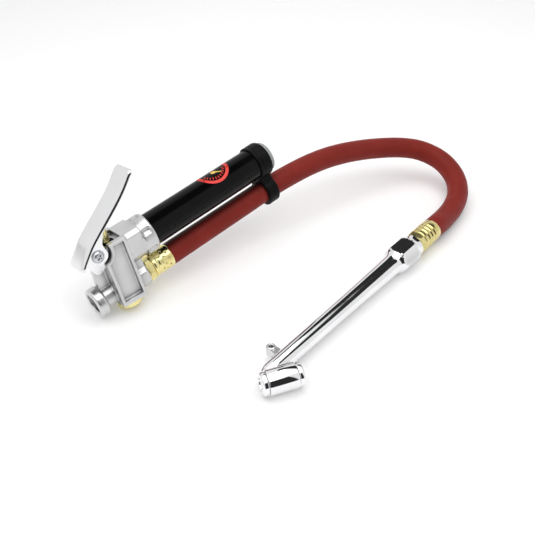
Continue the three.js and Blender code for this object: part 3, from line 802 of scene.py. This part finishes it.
def gauge():
    start, stop, bore = 14.4, 127.5, 9.9
    wall = [(bore, start), (BARREL_R, start), (BARREL_R, stop), (bore, stop), (bore, start)]
    slot = prism(slot_outline(WINDOW_START, WINDOW_STOP, 3), 4, 13, WINDOW_TURN)
    mesh = combined("barrel", [lathe(wall, sides=160)], [slot], matrix=TOOL)
    piece("barrel_tube", mesh, ENAMEL, nodes=["gauge_barrel"], sharp=40)
    clear = lathe([(8.7, 20.3), (9.6, 20.3), (9.6, 120), (8.7, 120), (8.7, 20.3)], TOOL, 96)
    piece("sight_tube", clear, CLEAR, nodes=["gauge_tube"], sharp=40)
    ram = [
        (0, 25.3), (7.9, 25.3), (8.3, 25.7), (8.3, 29.9), (7.9, 30.3), (3.2, 30.3), (3.2, 34.6),
        (2.8, 35), (0, 35),
    ]
    piece("ram", lathe(ram, TOOL, 72), SIGNAL, "gauge_piston", ["gauge_piston"], sharp=35)
    spring = helix(6.4, 0.55, 30.6, 120, 15, TOOL @ turn("Y", 90), "gauge_coil")
    coil = piece("gauge_coil", spring, STEEL, "inflator", ["gauge_spring"], sharp=80)
    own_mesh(coil)
    lens = [
        (0, 124.9), (9.6, 124.9), (9.6, 127.6), (10.7, 127.6), (10.7, 129.6), (10.5, 130.5), (9.9, 131.2),
        (8.8, 131.7), (7.2, 132.0), (5.0, 132.15), (2.4, 132.2), (0, 132.2),
    ]
    piece("sight_lens", lathe(lens, TOOL, 96), FROSTED, nodes=["end_lens"], sharp=40)
    disc = [(0, 120.3), (9.6, 120.3), (9.6, 124.6), (0, 124.6)]
    piece("plug_disc", lathe(disc, TOOL, 96), NYLON, nodes=["end_plug"], bevel=0.25)


gauge()

# ---- printing on the barrel ---------------------------------------------------------
# Each place is along the barrel in millimetres and around it in degrees.
BADGE_AT = (87.5, 83.3)
SCALE_AT = (WINDOW_START, WINDOW_DEG)
FILM_UNDERSIDE = 0.02


def printed(name, patches, material, lift, at=BADGE_AT):
    """A thin film on the barrel: patches of (along, around) in millimetres from the place at."""
    points, faces = [], []
    for rows in patches:
        base, count, columns = len(points), len(rows), len(rows[0])
        for height in (lift, FILM_UNDERSIDE):
            for row in rows:
                for along, around in row:
                    angle = math.radians(at[1]) + around / BARREL_R
                    r = BARREL_R + height
                    points.append((at[0] + along, r * math.cos(angle), r * math.sin(angle)))
        top = grid_faces(count, columns)
        below = base + count * columns
        faces += [tuple(base + k for k in face) for face in top]
        faces += [tuple(below + k for k in reversed(face)) for face in top]
        rim = list(range(columns)) + [i * columns + columns - 1 for i in range(1, count)]
        rim += [(count - 1) * columns + k for k in range(columns - 2, -1, -1)]
        rim += [i * columns for i in range(count - 2, 0, -1)]
        for a, b in zip(rim, rim[1:] + rim[:1]):
            faces.append((base + a, below + a, below + b, base + b))
    piece(name, mesh_of(name, points, faces, TOOL), material, sharp=60)


def sector(centre, inner, outer, start, stop, steps):
    """A ring sector as rows of points."""
    radii = (inner, (inner + outer) / 2, outer)
    return [arc(centre, radius, start, stop, steps) for radius in radii]


def stroke(start, stop, half_start, half_stop):
    """A straight tapered stroke as rows of points across it."""
    a, b = np.array(start), np.array(stop)
    along = (b - a) / np.linalg.norm(b - a)
    side = np.array([-along[1], along[0]])
    places = (a, (a + b) / 2, b)
    halves = (half_start, (half_start + half_stop) / 2, half_stop)
    return [[tuple(at + side * half), tuple(at - side * half)] for at, half in zip(places, halves)]


def badge():
    """A pressure dial pictogram: a red ring with ticks and an amber pointer on its hub."""
    inner, outer, line = 9.9, 12.0, 0.5
    ring = [sector((0, 0), inner, outer, 28, 152, 64)]
    for a in (-30, -20, -10, 0, 10, 19.5, 160.5, 170, 180, 190):
        ring.append(sector((0, 0), inner, outer, a - 3.4, a + 3.4, 4))
    for start, stop, steps in ((-34, 28, 24), (152, 196, 18)):
        ring.append(sector((0, 0), inner, inner + line, start, stop, steps))
        ring.append(sector((0, 0), outer - line, outer, start, stop, steps))
    printed("badge_ring", ring, BADGE_RED, 0.06)
    ticks = []
    for angle in range(20, 161, 14):
        way = (math.cos(math.radians(angle)), math.sin(math.radians(angle)))
        ticks.append(stroke((7.2 * way[0], 7.2 * way[1]), (8.9 * way[0], 8.9 * way[1]), 0.3, 0.3))
    printed("badge_ticks", ticks, BADGE_RED, 0.06)
    printed("badge_pointer", [stroke((-1.6, 1.0), (4.6, 5.6), 1.0, 0.3)], BADGE_AMBER, 0.08)
    printed("badge_hub", [sector((0, 2.2), 0.05, 1.7, 0, 359.9, 24)], BADGE_AMBER, 0.10)


badge()

# A digit is drawn on seven bars, named a to g from the top round to the middle one.
SEGMENTS = {"0": "abcdef", "1": "bc", "2": "abged", "4": "fgbc", "6": "afgedc", "8": "abcdefg"}
STROKES = {
    "a": ((0, 2), (1, 2)), "b": ((1, 2), (1, 1)), "c": ((1, 1), (1, 0)), "d": ((0, 0), (1, 0)),
    "e": ((0, 0), (0, 1)), "f": ((0, 1), (0, 2)), "g": ((0, 1), (1, 1)),
}


def window_scale():
    """Ticks along both edges of the gauge window, and plain numbers beside one of them."""
    first, step, every = 3.0, 2.85, 4
    numbers = ("0", "40", "80", "120", "160")
    patches = []
    for i in range(every * (len(numbers) - 1) + 1):
        along = first + step * i
        reach = 2.0 if i % every == 0 else 1.1
        for side in (-1, 1):
            patches.append(stroke((along, side * 4.0), (along, side * (4.0 + reach)), 0.13, 0.13))
    width, size = 1.15, 0.85
    for i, number in enumerate(numbers):
        left = first + step * every * i + width * (len(number) - 1) / 2 + size / 2
        for k, digit in enumerate(number):
            for name in SEGMENTS[digit]:
                ends = [(left - 1.45 * width * k - size * u, 6.6 + size * v) for u, v in STROKES[name]]
                patches.append(stroke(*ends, 0.12, 0.12))
    printed("window_scale", patches, SCALE_WHITE, 0.05, SCALE_AT)


window_scale()

# ---- bumper -------------------------------------------------------------------------


def bumper():
    """Rubber cap over the barrel's end, joined by a web to a clip round the hose."""
    shell = [
        (11.0, 117.5), (12.3, 117.5), (12.5, 117.9), (12.5, 119.2), (12.2, 119.7), (12.2, 120.3),
        (12.5, 120.8), (12.5, 126.4), (12.1, 127.5), (11.5, 128.1), (10.8, 128.2), (10.8, 127.6),
        (11.0, 127.5), (11.0, 117.5),
    ]
    clip = [
        (7.5, 118.5), (10.3, 118.5), (10.6, 118.9), (10.6, 126.9), (10.3, 127.3), (7.5, 127.3),
        (7.5, 118.5),
    ]
    adds = [lathe(shell), lathe(clip, AT_PORT), box(118.6, 127.2, -6, 6, -15, -10.5)]
    cuts = [rod(BARREL_R + 0.05, 116, 127.8), rod(7.95, 117, 129, AT_PORT)]
    mesh = combined("bumper", adds, cuts, voxel=0.3, rounds=3, matrix=TOOL)
    piece("bumper", mesh, RUBBER, nodes=["bumper_cap"], sharp=180)


bumper()

# ---- hose fittings ------------------------------------------------------------------
HOSE_HEX = 15.4


def hex_bar(name, start, stop, matrix, material, nodes):
    """A hexagon bar with its corners turned off at both ends."""
    flat, corner, chamfer, lip = HOSE_HEX / 2, HOSE_HEX / math.sqrt(3), 0.9, 0.15
    shares, radii = np.linspace(0.1, 1, 8), np.linspace(flat, corner, 8)
    rows = [(0.0, start), (flat - 0.4, start), (flat, start + lip)]
    rows += [(r, start + lip + chamfer * t) for t, r in zip(shares, radii)]
    rows += [(corner, x) for x in np.linspace(start + chamfer + 0.5, stop - chamfer - 0.5, 4)]
    rows += [(r, stop - lip - chamfer * t) for t, r in zip(shares[::-1], radii[::-1])]
    rows += [(flat, stop - lip), (flat - 0.4, stop), (0.0, stop)]
    mesh = turned(name, rows, matrix, 192, polygonal(6, HOSE_HEX))
    piece(name, mesh, material, nodes=nodes, sharp=28)


def dimpled(rows, count, depth, size):
    """Staggered rows of round dents in the outer face of a sleeve."""
    step = 2 * math.pi / count

    def dent(angle, radius, x):
        if radius < 7.6:
            return radius
        deepest = 0.0
        for i, row in enumerate(rows):
            near = (angle / step + 0.5 * (i % 2) + 0.5) % 1 - 0.5
            away = math.hypot(near * step * radius, x - row) / size
            deepest = max(deepest, 1 - away**2)
        return radius - depth * min(1.0, deepest * 1.6)

    return dent


def body_fitting():
    """Hexagon, nipple and dimpled ferrule where the hose leaves the casting."""
    nodes = ["hose_fitting_body"]
    hex_bar("body_hex", 15.15, 19.9, PORT, BRASS, nodes)
    outer = [(7.5, 20.0), (8.0, 20.3), (8.2, 20.9), (8.2, 22.6), (7.9, 23.2), (7.7, 23.7), (7.9, 24.2)]
    outer += [(8.2, float(x)) for x in np.arange(24.7, 34.5, 0.2)]
    outer += [(8.0, 34.8), (7.6, 35.0), (7.2, 34.9)]
    profile = [(5.0, 20.0)] + outer + [(7.2, 22.0), (5.0, 22.0), (5.0, 20.0)]
    crimp = dimpled((25.9, 28.7, 31.5), 11, 0.55, 0.95)
    ferrule = turned("body_ferrule", profile, PORT, 240, crimp)
    piece("body_ferrule", ferrule, BRASS, nodes=["hose_ferrule_body"], sharp=45)
    nipple = [(0, 9.3), (4.2, 9.3), (4.2, 16.3), (2.6, 16.3), (2.6, 33.3), (0, 33.3)]
    piece("body_nipple", turned("body_nipple", nipple, PORT, 48), BRASS, nodes=nodes, sharp=40)


def chuck_fitting():
    """Hexagon, nipple and grooved ferrule where the hose meets the chuck."""
    nodes = ["hose_fitting_chuck"]
    hex_bar("chuck_hex", 155.0, 160.6, CHUCK, BRASS_CHUCK, nodes)
    rows = [(5.0, 160.8), (7.5, 160.8), (8.0, 161.1), (8.2, 161.7), (8.2, 163.6)]
    for at in (165.0, 168.6, 172.2):
        rows += [(8.15, at - 0.9), (7.9, at - 0.6), (7.55, at - 0.25), (7.5, at)]
        rows += [(7.55, at + 0.25), (7.9, at + 0.6), (8.15, at + 0.9), (8.2, at + 1.5)]
    rows += [(8.2, 178.9), (8.0, 179.3), (7.6, 179.5), (7.2, 179.4), (7.2, 163.0), (5.0, 163.0)]
    rows += [(5.0, 160.8)]
    ferrule = turned("chuck_ferrule", rows, CHUCK, 144)
    piece("chuck_ferrule", ferrule, BRASS_CHUCK, nodes=["hose_ferrule_chuck"], sharp=50)
    nipple = [(0, 142.2), (5.8, 142.2), (5.8, 155.6), (2.6, 155.6), (2.6, 174), (0, 174)]
    piece("chuck_nipple", turned("chuck_nipple", nipple, CHUCK, 48), BRASS_CHUCK, nodes=nodes, sharp=40)


body_fitting()
chuck_fitting()

# ---- chuck --------------------------------------------------------------------------


def stem_profile():
    """The rod, swelling into the hexagon that takes the hose fitting."""
    rows = [(0, -5.0), (3.6, -5.0), (4.5, -3.6), (5.2, -2.0), (5.6, 0.0), (5.8, 2.0)]
    rows += [(5.8 + 0.6 * t**1.3, 2 + 73 * t) for t in np.linspace(0.05, 1, 18)]
    rows += [(6.4 + 1.1 * t, 75 + 50.5 * t) for t in np.linspace(0.08, 1, 12)]
    rows += [(7.6, 126.6), (7.75, 127.6), (8.1, 128.6), (8.6, 129.6), (9.2, 130.4), (9.9, 131.0)]
    rows += [(10.75, x) for x in (131.7, 134, 138, 142, 146, 147.4)]
    rows += [(10.2, 148.0), (9.6, 148.6), (9.0, 149.3), (8.75, 150.2), (8.6, 152), (8.6, 154.3)]
    return rows + [(8.3, 154.7), (6.7, 154.7), (6.2, 141.5), (0, 141.5)]


def chuck():
    """Rod, head across its end, and the cast boss beside them."""
    nodes = ["chuck_stem"]
    stem = turned("chuck_rod", stem_profile(), CHUCK, 192, polygonal(6, 18.6))
    piece("chuck_rod", stem, CHROME, nodes=nodes, sharp=28)
    barrel = [
        (0, -1.5), (5.2, -1.5), (5.2, -9.2), (7.35, -9.2), (7.75, -9.05), (7.9, -8.65), (7.9, 8.65),
        (7.75, 9.05), (7.35, 9.2), (5.2, 9.2), (5.2, 1.5), (0, 1.5),
    ]
    piece("chuck_head", turned("chuck_head", barrel, HEAD, 128), CHROME, nodes=nodes, sharp=40)
    ear = CHUCK @ Matrix.Translation((13.3, 10.7, 0)) @ X_TO_Z
    disc = [
        (0, -3.4), (2.5, -3.4), (3.0, -3.0), (3.1, -2.6), (3.1, 2.4), (3.0, 2.9), (2.7, 3.3), (2.2, 3.55),
        (1.7, 3.5), (1.35, 3.2), (1.2, 2.7), (1.2, 0.4), (0, 0.4),
    ]
    piece("chuck_ear", turned("chuck_ear", disc, ear, 64), SATIN_CHROME, nodes=nodes, sharp=50)
    web = box(9.8, 16.4, 2.4, 10.6, -2.6, 2.4)
    web.transform(CHUCK)
    piece("chuck_ear_web", web, SATIN_CHROME, nodes=nodes, bevel=0.7, segments=3)


def foot(side, sign):
    """What one end of the head holds: ring, rubber seal, pin and the pin's spring."""

    def facing(profile, sides):
        return lathe([(r, x * sign) for r, x in profile], HEAD, sides)

    cap = [
        (4.2, 6), (4.9, 6), (4.9, 9.35), (7.0, 9.35), (7.35, 9.6), (7.4, 10), (7.4, 11.6), (7.2, 12.2),
        (6.7, 12.7), (5.9, 13.05), (5.0, 13.1), (4.4, 12.9), (4.2, 12.4), (4.2, 6),
    ]
    piece("foot_ring_" + side, facing(cap, 96), CHROME, nodes=["foot_cap_" + side], sharp=50)
    seal = [(1.7, 6.4), (4.2, 6.4), (4.2, 9.4), (3.6, 9.8), (2.6, 9.9), (2.0, 9.7), (1.7, 9.2), (1.7, 6.4)]
    piece("foot_seal_" + side, facing(seal, 64), RUBBER, nodes=["foot_grommet_" + side], sharp=50)
    pin = [(0, 3.9), (3.6, 3.9), (3.6, 5), (1.3, 5), (1.3, 9.8), (1.1, 10.2), (0, 10.4)]
    body = "foot_pin_" + side
    piece("foot_plunger_" + side, facing(pin, 48), BRASS_CHUCK, body, [body], sharp=40)
    way = HEAD @ turn("Y", 90 * sign)
    coil = piece(
        "foot_coil_" + side, helix(2.6, 0.25, 1.8, 3.6, 2, way, "foot_coil"), STEEL,
        "inflator", ["foot_spring_" + side], sharp=80,
    )
    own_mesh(coil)


chuck()
foot("front", -1)
foot("rear", 1)

# ---- stage and light ----------------------------------------------------------------
# Dark patches of the room: azimuth, half width, low, high, softness in degrees, and depth.
GAPS = [
    (-108, 27, 2, 50, 3, 0.97),
    (8, 46, 34, 53, 3, 0.97),
]
OVERHEAD_WATTS, OVERHEAD_SIZE = 7.4, 1.1
FLOOR_HALF = 4000


def pale_floor():
    """A wide matt floor that gives off a little light, so shadows stay faint."""
    corners = [(FLOOR_HALF * x, FLOOR_HALF * y, 0) for x, y in ((-1, -1), (1, -1), (1, 1), (-1, 1))]
    mesh = mesh_of("floor", corners, [(0, 1, 2, 3)], Matrix.Scale(0.001, 4))
    floor = bpy.data.objects.new("floor", mesh)
    bpy.context.scene.collection.objects.link(floor)
    glow = {"Emission_Color": (1, 1, 1, 1), "Emission_Strength": 0.10}
    s = Shader("pale_floor", Roughness=0.9, Specular_IOR_Level=0.0, **glow)
    s.mottle((0.93, 0.93, 0.93), (0.92, 0.92, 0.92), 3, 2)
    mesh.materials.append(s.material)
    floor.location.z = -0.0002


def room():
    """A pale room as reflections see it, with the dark patches and a dim ceiling; the camera sees white."""
    world = bpy.data.worlds.new("studio")
    bpy.context.scene.world = world
    world.use_nodes = True
    tree = world.node_tree
    tree.nodes.clear()

    def math_node(operation, *values):
        node = tree.nodes.new("ShaderNodeMath")
        node.operation = operation
        for socket, value in zip(node.inputs, values):
            if isinstance(value, (int, float)):
                socket.default_value = value
            else:
                tree.links.new(value, socket)
        return node.outputs[0]

    def ramp(value, start, stop, low=0.0, high=1.0):
        node = tree.nodes.new("ShaderNodeMapRange")
        node.interpolation_type = "SMOOTHSTEP"
        for name, number in (("From Min", start), ("From Max", stop), ("To Min", low), ("To Max", high)):
            node.inputs[name].default_value = number
        tree.links.new(value, node.inputs["Value"])
        return node.outputs["Result"]

    place = tree.nodes.new("ShaderNodeTexCoord").outputs["Generated"]
    split = tree.nodes.new("ShaderNodeSeparateXYZ")
    tree.links.new(place, split.inputs[0])
    x, y, z = split.outputs
    azimuth = math_node("DEGREES", math_node("ARCTAN2", y, x))
    elevation = math_node("DEGREES", math_node("ARCSINE", z))

    def gap(middle, half, low, high, soft, depth):
        """Dims one patch of the room, given in degrees, and leaves the rest at one."""
        offset = math_node("SUBTRACT", azimuth, middle)
        across = math_node("ABSOLUTE", math_node("WRAP", offset, 180.0, -180.0))
        sideways = ramp(across, half, half + soft, 1.0, 0.0)
        inside = math_node("MULTIPLY", sideways, ramp(elevation, low - soft, low))
        inside = math_node("MULTIPLY", inside, ramp(elevation, high, high + soft, 1.0, 0.0))
        return math_node("SUBTRACT", 1.0, math_node("MULTIPLY", inside, depth))

    walls = ramp(elevation, 58, 66, 0.92, 0.10)
    for patch in GAPS:
        walls = math_node("MULTIPLY", walls, gap(*patch))
    reflected = tree.nodes.new("ShaderNodeBackground")
    tree.links.new(walls, reflected.inputs["Color"])
    seen = tree.nodes.new("ShaderNodeBackground")
    seen.inputs["Color"].default_value = (1, 1, 1, 1)
    path = tree.nodes.new("ShaderNodeLightPath")
    mix = tree.nodes.new("ShaderNodeMixShader")
    tree.links.new(path.outputs["Is Camera Ray"], mix.inputs["Fac"])
    tree.links.new(reflected.outputs[0], mix.inputs[1])
    tree.links.new(seen.outputs[0], mix.inputs[2])
    output = tree.nodes.new("ShaderNodeOutputWorld")
    tree.links.new(mix.outputs[0], output.inputs["Surface"])


def overhead_lamp():
    """A soft lamp over the object that leaves the barrel's black alone."""
    light = bpy.data.lights.new("overhead", "AREA")
    light.shape = "RECTANGLE"
    light.size, light.size_y = OVERHEAD_SIZE, OVERHEAD_SIZE
    light.energy = OVERHEAD_WATTS
    overhead = bpy.data.objects.new("overhead", light)
    overhead.location = (-0.02, -0.10, 0.95)
    bpy.context.scene.collection.objects.link(overhead)
    spared = bpy.data.collections.new("spared_by_overhead")
    overhead.light_linking.receiver_collection = spared
    spared.objects.link(bpy.data.objects["barrel_tube"])
    spared.collection_objects[-1].light_linking.link_state = "EXCLUDE"


pale_floor()
room()
overhead_lamp()
bpy.context.scene.view_settings.view_transform = "Standard"
